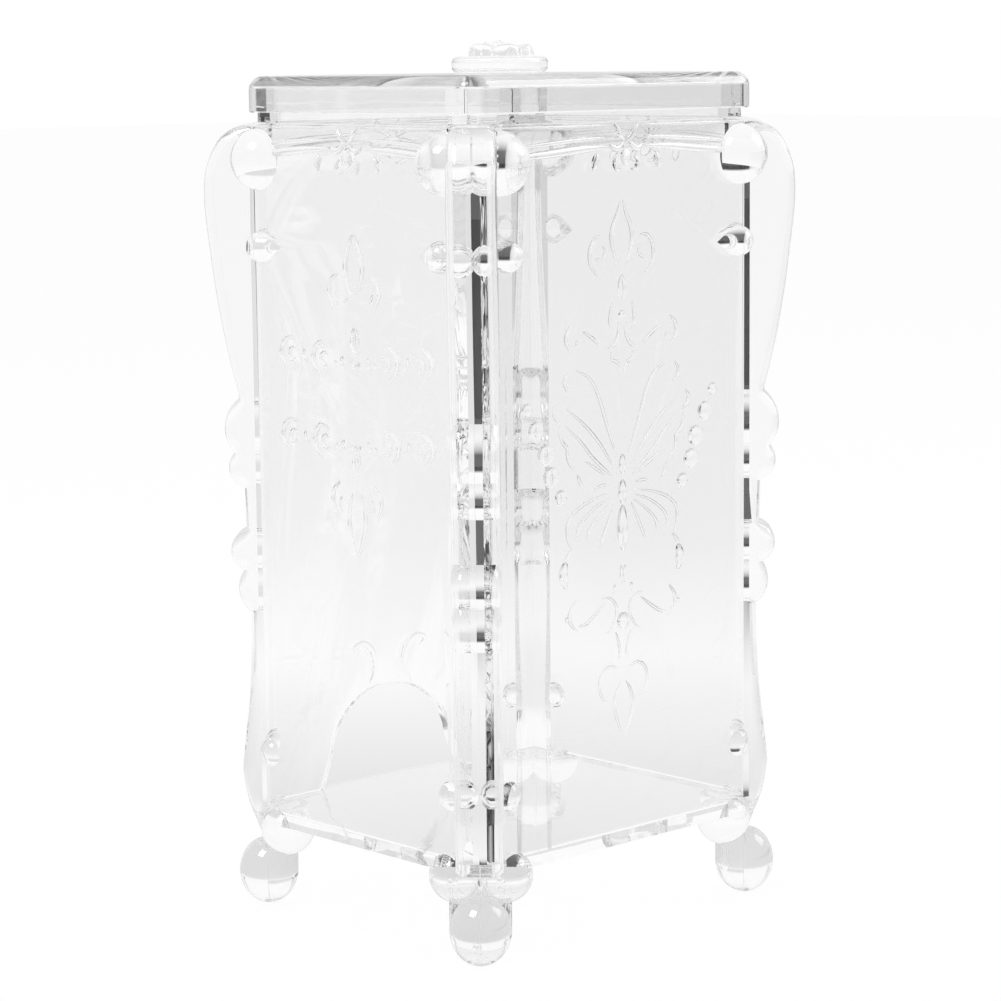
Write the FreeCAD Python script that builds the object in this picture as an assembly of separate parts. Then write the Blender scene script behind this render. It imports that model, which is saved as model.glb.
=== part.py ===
import FreeCAD, Part
import math
import os
from FreeCAD import Vector

# Clear polystyrene cotton pad holder: four mitred wall mouldings on a floor plate,
# each wall carrying half of the two scalloped corner fins beside it, and a lift-off
# lid with a rose knob. Millimetres, +Z up, origin at the centre of the feet on the
# ground. The wide walls face -Y (front) and +Y (back, with the dispensing arch).

# ---- driving dimensions ----
body_width = 77.4            # X, outer face of the left wall to outer face of the right wall
body_depth = 67.0            # Y, outer face of the front wall to outer face of the back wall
wall = 2.3                   # thickness of the four walls
fin_thickness = 9.0          # both halves of a corner fin together
bond = 0.06                  # cement line between two bonded mouldings
fin_reach = 5.4              # widest part of a fin past the virtual corner of the walls

foot_radius = 5.9
foot_flat = 0.25             # how much of each ball is cut away where it stands
foot_setback = 4.1           # ball centre to the virtual corner, along the fin
foot_split = 0.35            # seam between the halves of a foot, inside the ball centre

floor_underside = 16.8       # height of the floor plate above the ground
floor_thickness = 2.5
wall_height = 133.3          # floor plate to wall top

top_dome_radius = 6.2
top_dome_drop = 6.9          # wall top to dome centre
bottom_dome_radius = 5.2
upper_drop_radius = 3.0
upper_drop_length = 6.0      # tail of the teardrop past its round end
upper_drop_below_top = 23.4
lower_drop_radius = 3.0
lower_drop_above_floor = 13.2

border_relief = 0.7          # how far the top border stands off the wall
border_end_depth = 6.5       # border depth beside the fins
border_mid_depth = 4.5       # border depth beside the crest
crest_depth = 9.0
crest_half_width = 4.5
pendant_place = 8.0          # pendant to the centre of the wall
pendant_width = 2.5
pendant_drop = 3.7

arch_half_width = 14.3
arch_foot_half_width = 18.5
arch_spring = 8.2            # floor plate to where the round of the arch begins
arch_rise = 10.9             # height of the round above that

lid_overlap_in = 1.05        # lid edge inside the outer face of the wall
lid_gap = 1.8                # wall top to the underside of the lid skirt
lid_height = 6.9
lid_corner = 4.5
lid_edge_round = 2.0
lid_plate = 2.2
plug_wall = 1.8
plug_depth = 5.0             # plug below the wall top
plug_clearance = 0.3         # plug to the inside of the walls and corner posts
seat_gap = 0.05              # plug shoulder to the top of the corner posts

knob_radius = 9.2
knob_height = 3.2
knob_edge_round = 0.8
bud_radius = 3.3
petal_radius = 2.8
petal_place = 3.8            # petal centre to the knob axis
petals = 5

# Fin edge, from the waist upwards: (share of the wall height, share of fin_reach)
CREST = ((0.612, -0.07), (0.672, 0.28), (0.747, 0.61), (0.807, 0.80), (0.852, 0.93), (0.894, 1.0),
         (0.935, 0.91), (0.975, 0.48), (0.994, -0.17), (1.0, -0.80))
# Scallops below the waist, each an arc: (top, its peak, bottom) as the same pairs
SCALLOPS = (((0.597, -0.13), (0.560, 0.52), (0.526, 0.15)),
            ((0.526, 0.15), (0.504, 0.35), (0.475, -0.22)),
            ((0.414, -0.26), (0.380, 0.31), (0.354, -0.15)),
            ((0.354, -0.15), (0.327, 0.07), (0.293, -0.37)))
# Fin edge from the last scallop down to the floor plate
SKIRT_EDGE = ((0.243, -0.35), (0.170, -0.24), (0.080, 0.02), (0.050, 0.07), (0.0, -0.02))
# Fin edge below that: (share of the way from the floor plate to the ball centre, share of fin_reach)
ANKLE = ((0.315, -0.35), (0.49, -0.685))

# ---- heights and places that follow ----
floor_top = floor_underside + floor_thickness
wall_base = floor_top + bond
wall_top = wall_base + wall_height
fin_half = fin_thickness / 2
fin_root = -(fin_half + wall * math.sqrt(2))
concave = fin_thickness / math.sqrt(2)      # virtual corner to fin flank, along the wall
foot_centre = foot_radius - foot_flat
foot_seam = -foot_setback - foot_split
skirt = wall + plug_clearance - lid_overlap_in - bond   # lid skirt, snug on the plug ring
lid_base = wall_top + lid_gap
lid_top = lid_base + lid_height
knob_base = lid_top + bond
rose_base = knob_base + knob_height + bond
FAR = 2 * (body_width + body_depth + wall_height)

WALLS = {"front_panel": 0, "right_panel": 90, "back_panel": 180, "left_panel": 270}
CORNERS = {"front_right": (1, -1), "back_right": (1, 1), "back_left": (-1, 1), "front_left": (-1, -1)}


def prism(points, low, high):
    """Upright solid on a plan of (x, y) points."""
    ring = [Vector(x, y, low) for x, y in points]
    return Part.Face(Part.makePolygon(ring + ring[:1])).extrude(Vector(0, 0, high - low))


def slab(length, depth, low, high):
    """Upright box centred on the Z axis."""
    return Part.makeBox(length, depth, high - low, Vector(-length / 2, -depth / 2, low))


def rounded_slab(length, depth, radius, low, high):
    box = slab(length, depth, low, high)
    upright = [e for e in box.Edges if abs(e.Vertexes[0].Z - e.Vertexes[1].Z) > (high - low) / 2]
    return box.makeFillet(radius, upright)


def cut_corners(shape, length, depth, setback):
    """Cuts the four corners of a slab square to the diagonal, setback from the corners of length x depth."""
    for right, back in CORNERS.values():
        cutter = Part.makeBox(FAR, FAR, FAR, Vector(-setback, -FAR / 2, -FAR / 2))
        shape = shape.cut(to_corner(cutter, length, depth, right, back))
    return shape


def to_corner(shape, length, depth, right, back):
    """Places a shape made with X outwards along the fin, from the virtual corner of the walls."""
    moved = shape.copy()
    moved.rotate(Vector(0, 0, 0), Vector(0, 0, 1), math.degrees(math.atan2(back, right)))
    moved.translate(Vector(right * length / 2, back * depth / 2, 0))
    return moved


def smooth(points):
    curve = Part.BSplineCurve()
    curve.interpolate(points)
    return curve.toShape()


def fin_outline():
    """Closed wire of a fin in the XZ plane: X is the reach past the virtual corner."""
    def at(share, reach):
        return Vector(reach * fin_reach, 0, wall_base + share * wall_height)

    def under(share, reach):
        return Vector(reach * fin_reach, 0, floor_top - share * (floor_top - foot_centre))

    crest = [at(*pair) for pair in CREST]
    lower = [at(*pair) for pair in SKIRT_EDGE] + [under(*pair) for pair in ANKLE]
    edges = [smooth(crest)]
    end = crest[0]
    for top, peak, bottom in SCALLOPS:
        if (at(*top) - end).Length > bond:
            edges.append(Part.makeLine(end, at(*top)))
        edges.append(Part.Arc(at(*top), at(*peak), at(*bottom)).toShape())
        end = at(*bottom)
    edges.append(Part.makeLine(end, lower[0]))
    edges.append(smooth(lower))
    rest = [lower[-1], Vector(lower[-1].x, 0, foot_centre), Vector(foot_seam, 0, foot_centre),
            Vector(foot_seam, 0, floor_underside), Vector(fin_root, 0, floor_underside),
            Vector(fin_root, 0, wall_top), crest[-1]]
    edges += [Part.makeLine(low, high) for low, high in zip(rest, rest[1:])]
    return Part.Wire(Part.__sortEdges__(edges))


def near_half(reach_from):
    """Clip for what belongs to one wall: this side of the fin's centre plane, outside reach_from."""
    return Part.makeBox(FAR, FAR, FAR, Vector(reach_from, -FAR - bond / 2, 0))


def fin_half_with_foot():
    """One half fin and its quarter ball foot, at the right-hand corner of a wall."""
    outline = fin_outline()
    outline.translate(Vector(0, -bond / 2, 0))
    fin = Part.Face(outline).extrude(Vector(0, bond / 2 - fin_half, 0))
    ball = Part.makeSphere(foot_radius, Vector(-foot_setback, 0, foot_centre))
    return fin.fuse(ball.common(near_half(foot_seam)))


def teardrop(radius, tail):
    """Round drop with a tapering tail along -X, its ball on the origin."""
    tip = radius + tail
    lean = math.acos(radius / tip)
    touch = Vector(-radius * math.cos(lean), 0, radius * math.sin(lean))
    arc = Part.Arc(Vector(radius, 0, 0), Vector(0, 0, radius), touch).toShape()
    edges = [arc, Part.makeLine(touch, Vector(-tip, 0, 0)), Part.makeLine(Vector(-tip, 0, 0), Vector(radius, 0, 0))]
    return Part.Face(Part.Wire(edges)).revolve(Vector(0, 0, 0), Vector(1, 0, 0), 360)


def wall_trims(length, standoff):
    """Domes and drops in the angle between the wall and its right-hand fin."""
    root = Vector(length / 2 - concave, -standoff, 0)
    dome = Part.makeSphere(top_dome_radius, root + Vector(0, 0, wall_top - top_dome_drop))
    upper = teardrop(upper_drop_radius, upper_drop_length)
    upper.translate(root + Vector(0, 0, wall_top - upper_drop_below_top))
    lower = Part.makeSphere(lower_drop_radius, root + Vector(0, 0, floor_top + lower_drop_above_floor))
    return [dome, upper, lower]


def border(length, standoff):
    """Raised band under the wall's top edge, with its crest and two pendants."""
    end = length / 2 - concave
    half = [(end, border_end_depth), (pendant_place + 2 * pendant_width, border_mid_depth),
            (pendant_place + pendant_width / 2, border_mid_depth),
            (pendant_place, border_mid_depth + pendant_drop),
            (pendant_place - pendant_width / 2, border_mid_depth),
            (crest_half_width, border_mid_depth), (crest_half_width / 2, crest_depth)]
    lower = half + [(-x, depth) for x, depth in reversed(half)]
    outline = [(end, 0)] + lower + [(-end, 0)]
    ring = [Vector(x, -standoff - border_relief, wall_top - depth) for x, depth in outline]
    return Part.Face(Part.makePolygon(ring + ring[:1])).extrude(Vector(0, border_relief + wall / 2, 0))


def wall_plan(length, standoff):
    """Plan of a wall between the flanks of its two fins, its ends cut square to the fins."""
    outer = length / 2 - concave
    return [(-outer, -standoff), (outer, -standoff), (outer - wall, wall - standoff), (wall - outer, wall - standoff)]


def mould_reach(length, standoff, inward, high):
    """The space up to high that one wall moulding may fill, from its mitres to inward of its face."""
    mitre = bond / math.sqrt(2)
    far = length / 2 + length - mitre
    near = length / 2 - inward - mitre
    inner = inward - standoff
    return prism([(-far, -standoff - length), (far, -standoff - length), (near, inner), (-near, inner)], 0, high)


def floor_ball(length, standoff):
    """Ball where wall, fin and floor plate meet, notched for the plate."""
    radius = bottom_dome_radius
    root = Vector(length / 2 - concave, -standoff, floor_underside)
    ball = Part.makeSphere(radius, root)
    outside = ball.common(mould_reach(length, standoff, wall, wall_top))
    under = ball.common(mould_reach(length, standoff, radius, floor_underside - bond))
    notch = slab(length + 2 * bond, 2 * (standoff + bond), floor_underside - bond, floor_top + bond)
    return outside.fuse(under).cut(cut_corners(notch, length, 2 * standoff, -fin_root))


def mirrored(shape):
    return shape.mirror(Vector(0, 0, 0), Vector(1, 0, 0))


def panel(length, standoff):
    """A wall moulding that faces -Y: the wall, two half fins, its trims and its border."""
    plate = prism(wall_plan(length, standoff), wall_base, wall_top)
    reach = mould_reach(length, standoff, wall, wall_top)
    fin = to_corner(fin_half_with_foot(), length, 2 * standoff, 1, -1)
    trims = [trim.common(reach) for trim in wall_trims(length, standoff)]
    right = [fin, floor_ball(length, standoff)] + trims
    both = right + [mirrored(piece) for piece in right]
    return plate.fuse(both + [border(length, standoff)]).removeSplitter()


def arch_cut(standoff):
    """Dispensing arch through a wall that faces -Y, open at the floor plate, its feet flared."""
    def at(x, height):
        return Vector(x, -standoff - wall, floor_top + height)

    spring = at(arch_half_width, arch_spring)
    crown = at(0, arch_spring + arch_rise)
    flare = at((3 * arch_half_width + arch_foot_half_width) / 4, arch_spring / 2)
    foot = at(arch_foot_half_width, 0)
    left = [Vector(-p.x, p.y, p.z) for p in (spring, flare, foot)]
    edges = [Part.Arc(left[2], left[1], left[0]).toShape(), Part.Arc(left[0], crown, spring).toShape(),
             Part.Arc(spring, flare, foot).toShape(), Part.makeLine(foot, left[2])]
    return Part.Face(Part.Wire(edges)).extrude(Vector(0, 3 * wall, 0))


def make_panels():
    made = {}
    for name, turn in WALLS.items():
        wide = turn % 180 == 0
        length, standoff = (body_width, body_depth / 2) if wide else (body_depth, body_width / 2)
        shape = panel(length, standoff)
        if name == "back_panel":
            shape = shape.cut(arch_cut(standoff))
        shape.rotate(Vector(0, 0, 0), Vector(0, 0, 1), turn)
        made[name] = shape
    return made


def make_floor():
    """Floor plate, flush with the walls, its corners cut back for the fin roots."""
    plate = slab(body_width, body_depth, floor_underside, floor_top)
    return {"floor_plate": cut_corners(plate, body_width, body_depth, bond - fin_root)}


def make_foot_cores():
    """Inner half of each foot: a round post under the floor plate that ends in a half ball."""
    centre = Vector(-foot_setback, 0, foot_centre)
    post = Part.makeCylinder(foot_radius, floor_underside - bond - foot_centre, centre)
    core = post.fuse(Part.makeSphere(foot_radius, centre))
    inner_side = Part.makeBox(FAR, FAR, floor_underside - bond, Vector(foot_seam - bond - FAR, -FAR / 2, 0))
    core = core.common(inner_side)
    for side in (-fin_half, fin_half):
        core = core.cut(Part.makeSphere(bottom_dome_radius + bond, Vector(-fin_half, side, floor_underside)))
    core = core.removeSplitter()
    return {"foot_core_" + name: to_corner(core, body_width, body_depth, right, back)
            for name, (right, back) in CORNERS.items()}


def make_lid():
    """Lid cap with its skirt, the plug ring inside it, and the rose knob."""
    length = body_width - 2 * lid_overlap_in
    depth = body_depth - 2 * lid_overlap_in
    cap = rounded_slab(length, depth, lid_corner, lid_base, lid_top)
    rim = [e for e in cap.Edges if min(v.Z for v in e.Vertexes) > lid_top - bond]
    cap = cap.makeFillet(lid_edge_round, rim)
    hollow = rounded_slab(length - 2 * skirt, depth - 2 * skirt, lid_corner - skirt,
                          lid_base, lid_top - lid_plate)
    return {"lid_cap": cap.cut(hollow), "plug_ring": plug_ring(length, depth)}


def plug_ring(length, depth):
    """Ring cemented inside the skirt; below the wall top its corners clear the corner posts."""
    outer = skirt + bond
    ring_top = lid_top - lid_plate - bond
    shoulder = wall_top + seat_gap
    corner = lid_corner - outer
    neck = rounded_slab(length - 2 * outer, depth - 2 * outer, corner, shoulder, ring_top)
    plug_length = body_width - 2 * (wall + plug_clearance)
    plug_width = body_depth - 2 * (wall + plug_clearance)
    plug = slab(plug_length, plug_width, wall_top - plug_depth, shoulder)
    plug = cut_corners(plug, body_width, body_depth, plug_clearance - fin_root)
    bore = slab(plug_length - 2 * plug_wall, plug_width - 2 * plug_wall, wall_top - plug_depth, ring_top)
    bore = cut_corners(bore, body_width, body_depth, plug_clearance + plug_wall - fin_root)
    return neck.fuse(plug).cut(bore).removeSplitter()


def make_knob():
    disc = Part.makeCylinder(knob_radius, knob_height, Vector(0, 0, knob_base))
    rims = [e for e in disc.Edges if isinstance(e.Curve, Part.Circle)]
    disc = disc.makeFillet(knob_edge_round, rims)
    blobs = [Part.makeSphere(bud_radius, Vector(0, 0, rose_base))]
    for number in range(petals):
        turn = 2 * math.pi * number / petals
        centre = Vector(petal_place * math.cos(turn), petal_place * math.sin(turn), rose_base)
        blobs.append(Part.makeSphere(petal_radius, centre))
    above = slab(4 * knob_radius, 4 * knob_radius, rose_base, rose_base + 2 * bud_radius)
    rose = blobs[0].fuse(blobs[1:]).common(above).removeSplitter()
    return {"knob_disc": disc, "knob_rose": rose}


def main():
    os.makedirs("parts", exist_ok=True)
    for made in (make_panels(), make_floor(), make_foot_cores(), make_lid(), make_knob()):
        for name, shape in made.items():
            shape.exportStep("parts/" + name + ".step")
            box = shape.BoundBox
            print(name, len(shape.Solids), shape.isValid(), round(shape.Volume, 1),
                  [round(v, 2) for v in (box.XMin, box.XMax, box.YMin, box.YMax, box.ZMin, box.ZMax)])


main()
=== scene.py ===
import math
import bmesh
import bpy
from mathutils import Matrix, Vector


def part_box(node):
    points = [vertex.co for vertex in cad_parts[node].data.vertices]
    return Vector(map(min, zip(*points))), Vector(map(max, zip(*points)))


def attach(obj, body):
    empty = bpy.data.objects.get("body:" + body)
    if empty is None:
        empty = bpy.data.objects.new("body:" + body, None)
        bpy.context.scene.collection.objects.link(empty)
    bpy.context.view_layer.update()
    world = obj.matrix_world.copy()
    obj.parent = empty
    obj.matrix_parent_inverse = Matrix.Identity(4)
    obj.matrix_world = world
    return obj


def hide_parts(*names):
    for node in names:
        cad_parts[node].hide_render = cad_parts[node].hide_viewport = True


# Clear polystyrene cotton pad holder. The CAD frame gives the overall sizes; the walls with
# their fins, domes and relief, the feet and the lid are modelled here as finer solids, each
# of one moulding. Shapes are worked out in millimetres and scaled to metres at the end.

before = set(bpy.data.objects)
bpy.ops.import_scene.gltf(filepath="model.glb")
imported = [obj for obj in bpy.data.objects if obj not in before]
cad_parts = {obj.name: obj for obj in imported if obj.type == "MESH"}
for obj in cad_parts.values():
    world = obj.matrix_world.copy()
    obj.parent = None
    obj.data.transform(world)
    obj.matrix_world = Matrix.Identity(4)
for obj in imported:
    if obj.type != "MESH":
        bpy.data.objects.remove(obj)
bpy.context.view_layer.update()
MM = 0.001


def node_box(node):
    """Lowest and highest corner of a CAD node in millimetres."""
    low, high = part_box(node)
    return Vector(low) / MM, Vector(high) / MM


# ---- sizes from the frame, millimetres ----
plate_low, plate_high = node_box("floor_plate")
lid_low, lid_high = node_box("lid_cap")
disc_low, disc_high = node_box("knob_disc")
rose_low, rose_high = node_box("knob_rose")
BODY_WIDTH = plate_high.x - plate_low.x
BODY_DEPTH = plate_high.y - plate_low.y
FLOOR_UNDERSIDE = plate_low.z
FLOOR_TOP = plate_high.z
WALL_TOP = node_box("front_panel")[1].z
LID_BASE = lid_low.z
LID_TOP = lid_high.z
KNOB_BASE = disc_low.z
KNOB_TOP = disc_high.z
KNOB_RADIUS = disc_high.x
ROSE_BASE = rose_low.z
ROSE_TOP = rose_high.z

# ---- sizes of the mouldings, millimetres ----
WALL = 2.3
WALL_RIM_ROUND = 0.3
FIN_THICKNESS = 9.0          # both halves of a corner fin together
FIN_REACH = 5.4              # widest part of a fin past the virtual corner of the walls
FIN_EDGE_ROUND = 2.2
FIN_GRIP = 0.6               # how far the core of a wall plate runs into its fins
SEAT_DEPTH = 8.0             # height of the corner posts that carry the lid, under the wall top
BOND = 0.06                  # cement line between two mouldings
FOOT_RADIUS = 5.75
FOOT_TALL = 1.15             # height of a ball foot over its width
FOOT_FLAT = 0.25             # how much of each ball is cut away where it stands
FOOT_SETBACK = 4.1           # ball centre to the virtual corner, along the fin
FOOT_SPLIT = 0.35            # seam between the halves of a foot, inside the ball centre
TOP_DOME_RADIUS = 5.9
TOP_DOME_SHIFT = 1.0         # how far a dome stands along the wall and into it from the fin root
TOP_DOME_DROP = 6.9
BOTTOM_DOME_RADIUS = 5.2
# From the fin root: along the wall, into it, and down from the floor plate's underside
BOTTOM_DOME_SHIFT = (2.7, 2.85, 1.1)
UPPER_DROP_RADIUS = 3.0
UPPER_DROP_TAIL = 2.8
UPPER_DROP_SHIFT = 1.8       # how far an upper drop stands along the wall from the fin root
UPPER_DROP_BELOW_TOP = 23.4
LOWER_DROP_RADIUS = 3.0
LOWER_DROP_ABOVE_FLOOR = 11.8
LOWER_DROP_SHIFT = 1.3
BORDER_RELIEF = 0.45         # how far the border under the wall top stands out
ARCH_HALF_WIDTH = 14.3
ARCH_FOOT_HALF_WIDTH = 18.5
ARCH_SPRING = 8.2            # floor plate to where the round of the arch begins
ARCH_RISE = 10.9             # height of the round above that
ARCH_SINK = 1.0              # how far the cutter reaches under the floor plate's top
ARCH_EDGE_ROUND = 0.5
ARCH_PAST = 2.0              # how far the cutter stands past both faces of the wall
LID_CORNER = 4.5
LID_EDGE_ROUND = 2.7
LID_PLATE = 2.2              # thickness of the lid's flat top
LID_SKIRT = 1.49             # and of the skirt round it
LID_RIM_ROUND = 0.25
KNOB_EDGE_ROUND = 1.2
SMOOTH_ANGLE = 28            # degrees; edges that bend more stay sharp
ROSE_SMOOTH_ANGLE = 60

# Fin edge, from the waist upwards: (share of the wall height, share of FIN_REACH)
CREST = ((0.612, -0.07), (0.672, 0.28), (0.747, 0.61), (0.807, 0.80), (0.852, 0.93), (0.894, 1.0),
         (0.935, 0.91), (0.975, 0.48), (0.994, -0.17), (1.0, -0.80))
# Scallops below the waist, each an arc: (top, its peak, bottom) as the same pairs
SCALLOPS = (((0.605, -0.08), (0.565, 0.45), (0.526, 0.12)),
            ((0.526, 0.12), (0.504, 0.33), (0.475, -0.22)),
            ((0.414, -0.26), (0.380, 0.31), (0.354, -0.15)),
            ((0.354, -0.15), (0.327, 0.07), (0.293, -0.37)))
# Fin edge from the last scallop down to the floor plate
SKIRT_EDGE = ((0.243, -0.35), (0.170, -0.24), (0.080, 0.02), (0.050, 0.04), (0.010, -0.14))
# Fin edge below that: (share of the way from the floor plate to the ball centre, share of FIN_REACH)
ANKLE = ((0.17, -0.40), (0.38, -0.60), (0.5, -0.72))

# ---- places that follow ----
WALL_BASE = FLOOR_TOP + BOND
WALL_HEIGHT = WALL_TOP - WALL_BASE
FIN_HALF = FIN_THICKNESS / 2
FIN_ROOT = -(FIN_HALF + WALL * math.sqrt(2))
CONCAVE = FIN_THICKNESS / math.sqrt(2)
FOOT_CENTRE = FOOT_RADIUS * FOOT_TALL - FOOT_FLAT
FOOT_SEAM = -FOOT_SETBACK - FOOT_SPLIT
FAR = 3 * (BODY_WIDTH + WALL_HEIGHT)     # past everything, for cutting blocks
WALLS = {"front_panel": 0, "right_panel": 90, "back_panel": 180, "left_panel": 270}
CORNERS = {"front_right": (1, -1), "back_right": (1, 1), "back_left": (-1, 1), "front_left": (-1, -1)}


# ---- points and curves ----
def spline(points, steps):
    """Smooth curve through the points, steps per span, as a list of tuples."""
    rows = [Vector(p) for p in points]
    rows = [2 * rows[0] - rows[1]] + rows + [2 * rows[-1] - rows[-2]]
    made = []
    for a, b, c, d in zip(rows, rows[1:], rows[2:], rows[3:]):
        for step in range(steps):
            t = step / steps
            made.append((2 * b + (c - a) * t + (2 * a - 5 * b + 4 * c - d) * t ** 2
                         + (3 * b - a - 3 * c + d) * t ** 3) / 2)
    return [tuple(p) for p in made + [rows[-2]]]


def arc(start, through, end, steps):
    """Circular arc through three 2D points."""
    (ax, ay), (bx, by), (cx, cy) = start, through, end
    a2, b2, c2 = (x * x + y * y for x, y in (start, through, end))
    d = 2 * (ax * (by - cy) + bx * (cy - ay) + cx * (ay - by))
    ux = (a2 * (by - cy) + b2 * (cy - ay) + c2 * (ay - by)) / d
    uy = (a2 * (cx - bx) + b2 * (ax - cx) + c2 * (bx - ax)) / d
    radius = math.hypot(ax - ux, ay - uy)
    first, middle, last = (math.atan2(y - uy, x - ux) for x, y in (start, through, end))
    turn = (last - first) % (2 * math.pi)
    if (middle - first) % (2 * math.pi) > turn:
        turn -= 2 * math.pi
    turns = [first + turn * n / steps for n in range(steps + 1)]
    return [(ux + radius * math.cos(t), uy + radius * math.sin(t)) for t in turns]


def quarter_turns(steps):
    """Angles from 0 to a right angle, in radians."""
    return [math.radians(90) * n / steps for n in range(steps + 1)]


# ---- solids: bmesh in millimetres, wrapped as scratch objects for the unions and cuts ----
def solid(bm):
    """Scratch object from a closed bmesh, its faces turned outwards."""
    bmesh.ops.recalc_face_normals(bm, faces=bm.faces)
    mesh = bpy.data.meshes.new("solid")
    bm.to_mesh(mesh)
    bm.free()
    made = bpy.data.objects.new("solid", mesh)
    bpy.context.collection.objects.link(made)
    return made


def prism(outline, low, high, rounded=0.0, segments=3):
    """Solid between two heights on an (x, y) outline; rounded softens its upper rim."""
    bm = bmesh.new()
    floor = [bm.verts.new((x, y, low)) for x, y in outline]
    roof = [bm.verts.new((x, y, high)) for x, y in outline]
    bm.faces.new(floor)
    bm.faces.new(roof)
    count = len(outline)
    for n in range(count):
        bm.faces.new((floor[n], floor[(n + 1) % count], roof[(n + 1) % count], roof[n]))
    if rounded:
        rim = [bm.edges.get((roof[n], roof[(n + 1) % count])) for n in range(count)]
        bmesh.ops.bevel(bm, geom=rim, offset=rounded, offset_type="OFFSET", segments=segments,
                        profile=0.5, affect="EDGES", clamp_overlap=False)
    return solid(bm)


def ball(radius, centre, fine=72):
    """Ball with fine faces round its equator."""
    bm = bmesh.new()
    bmesh.ops.create_uvsphere(bm, u_segments=fine, v_segments=fine // 2, radius=radius)
    bmesh.ops.translate(bm, verts=bm.verts, vec=centre)
    return solid(bm)


def block(low, high):
    """Box between two corners."""
    outline = [(low[0], low[1]), (high[0], low[1]), (high[0], high[1]), (low[0], high[1])]
    return prism(outline, low[2], high[2])


def lathe(profile, fine=96):
    """Solid of revolution about Z; the profile of (radius, z) starts and ends on the axis."""
    bm = bmesh.new()
    turns = [2 * math.pi * n / fine for n in range(fine)]
    rings = []
    for radius, z in profile:
        if radius < 1e-6:
            rings.append([bm.verts.new((0, 0, z))])
            continue
        rings.append([bm.verts.new((radius * math.cos(turn), radius * math.sin(turn), z)) for turn in turns])
    for low, high in zip(rings, rings[1:]):
        for n in range(fine):
            corners = [low[n % len(low)], low[(n + 1) % len(low)],
                       high[(n + 1) % len(high)], high[n % len(high)]]
            bm.faces.new(list(dict.fromkeys(corners)))
    return solid(bm)


def loft(rings):
    """Solid through closed rings of as many points each, its first and last ring capped."""
    bm = bmesh.new()
    rows = [[bm.verts.new(p) for p in ring] for ring in rings]
    for low, high in zip(rows, rows[1:]):
        count = len(low)
        for n in range(count):
            bm.faces.new((low[n], low[(n + 1) % count], high[(n + 1) % count], high[n]))
    bm.faces.new(rows[0])
    bm.faces.new(rows[-1])
    return solid(bm)


def moved(piece, matrix):
    """Moves a solid's points; a mirror image gets its faces turned outwards again."""
    piece.data.transform(matrix)
    if matrix.determinant() < 0:
        piece.data.flip_normals()
    return piece


def copied(piece):
    """Twin of a scratch solid with a mesh of its own."""
    twin = piece.copy()
    twin.data = piece.data.copy()
    bpy.context.collection.objects.link(twin)
    return twin


def mirrored(piece):
    """Mirror image of a solid, left for right; the solid itself stays."""
    return moved(copied(piece), Matrix.Scale(-1, 4, (1, 0, 0)))


def discard(piece):
    """Removes a scratch solid and its mesh."""
    mesh = piece.data
    bpy.data.objects.remove(piece)
    bpy.data.meshes.remove(mesh)


def combine(piece, others, operation):
    """Unites piece with the others, cuts them away or keeps what they share. The others are used up."""
    for other in others:
        step = piece.modifiers.new("combine", "BOOLEAN")
        step.operation = operation
        step.solver = "MANIFOLD"
        step.object = other
    result = bpy.data.meshes.new_from_object(piece.evaluated_get(bpy.context.evaluated_depsgraph_get()))
    piece.modifiers.clear()
    old = piece.data
    piece.data = result
    bpy.data.meshes.remove(old)
    for other in others:
        discard(other)
    return piece


def unite(piece, others):
    """One solid from a solid and a list of others."""
    return combine(piece, others, "UNION")


def cut(piece, others):
    """A solid less a list of others."""
    return combine(piece, others, "DIFFERENCE")


def shared(piece, other):
    """What two solids have in common."""
    return combine(piece, [other], "INTERSECT")


# ---- finished pieces ----
RELIEF_GROUP = "relief"      # points whose faces are fine and even, and are shaded as they are


def finish_piece(piece, name, body, material, nodes=(), smooth_angle=SMOOTH_ANGLE):
    """Names a solid, scales it to metres, shades it and ties it to the frame."""
    piece.name = name
    piece.data.name = name
    piece.data.transform(Matrix.Scale(MM, 4))
    for face in piece.data.polygons:
        face.use_smooth = True
    piece.data.set_sharp_from_angle(angle=math.radians(smooth_angle))
    piece.data.materials.clear()
    piece.data.materials.append(material)
    weigh = piece.modifiers.new("flat faces stay flat", "WEIGHTED_NORMAL")
    weigh.keep_sharp = True
    if RELIEF_GROUP in piece.vertex_groups:
        weigh.vertex_group = RELIEF_GROUP
        weigh.invert_vertex_group = True
    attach(piece, body)
    if nodes:
        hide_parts(*nodes)
    return piece


# ---- the wall mouldings ----
def at_corner(piece, length, standoff):
    """Moves a solid made with X outwards along the fin to the right-hand corner of a wall that faces -Y."""
    turn = Matrix.Rotation(math.radians(-45), 4, "Z")
    return moved(piece, Matrix.Translation((length / 2, -standoff, 0)) @ turn)


STAND_UP = Matrix.Rotation(math.radians(90), 4, "X")     # (x, y, z) goes to (x, -z, y)


def fin_edge():
    """Outer edge of a fin from its top to its neck, as (reach, z), reach past the virtual corner."""
    def at(share, reach):
        return reach * FIN_REACH, WALL_BASE + share * WALL_HEIGHT

    def under(share, reach):
        return reach * FIN_REACH, FLOOR_TOP - share * (FLOOR_TOP - FOOT_CENTRE)

    edge = spline([at(*pair) for pair in reversed(CREST)], steps=5)
    for scallop in SCALLOPS:
        rounded = arc(*(at(*pair) for pair in scallop), steps=12)
        edge += rounded if math.dist(rounded[0], edge[-1]) > BOND else rounded[1:]
    return edge + spline([at(*pair) for pair in SKIRT_EDGE] + [under(*pair) for pair in ANKLE], steps=4)


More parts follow.
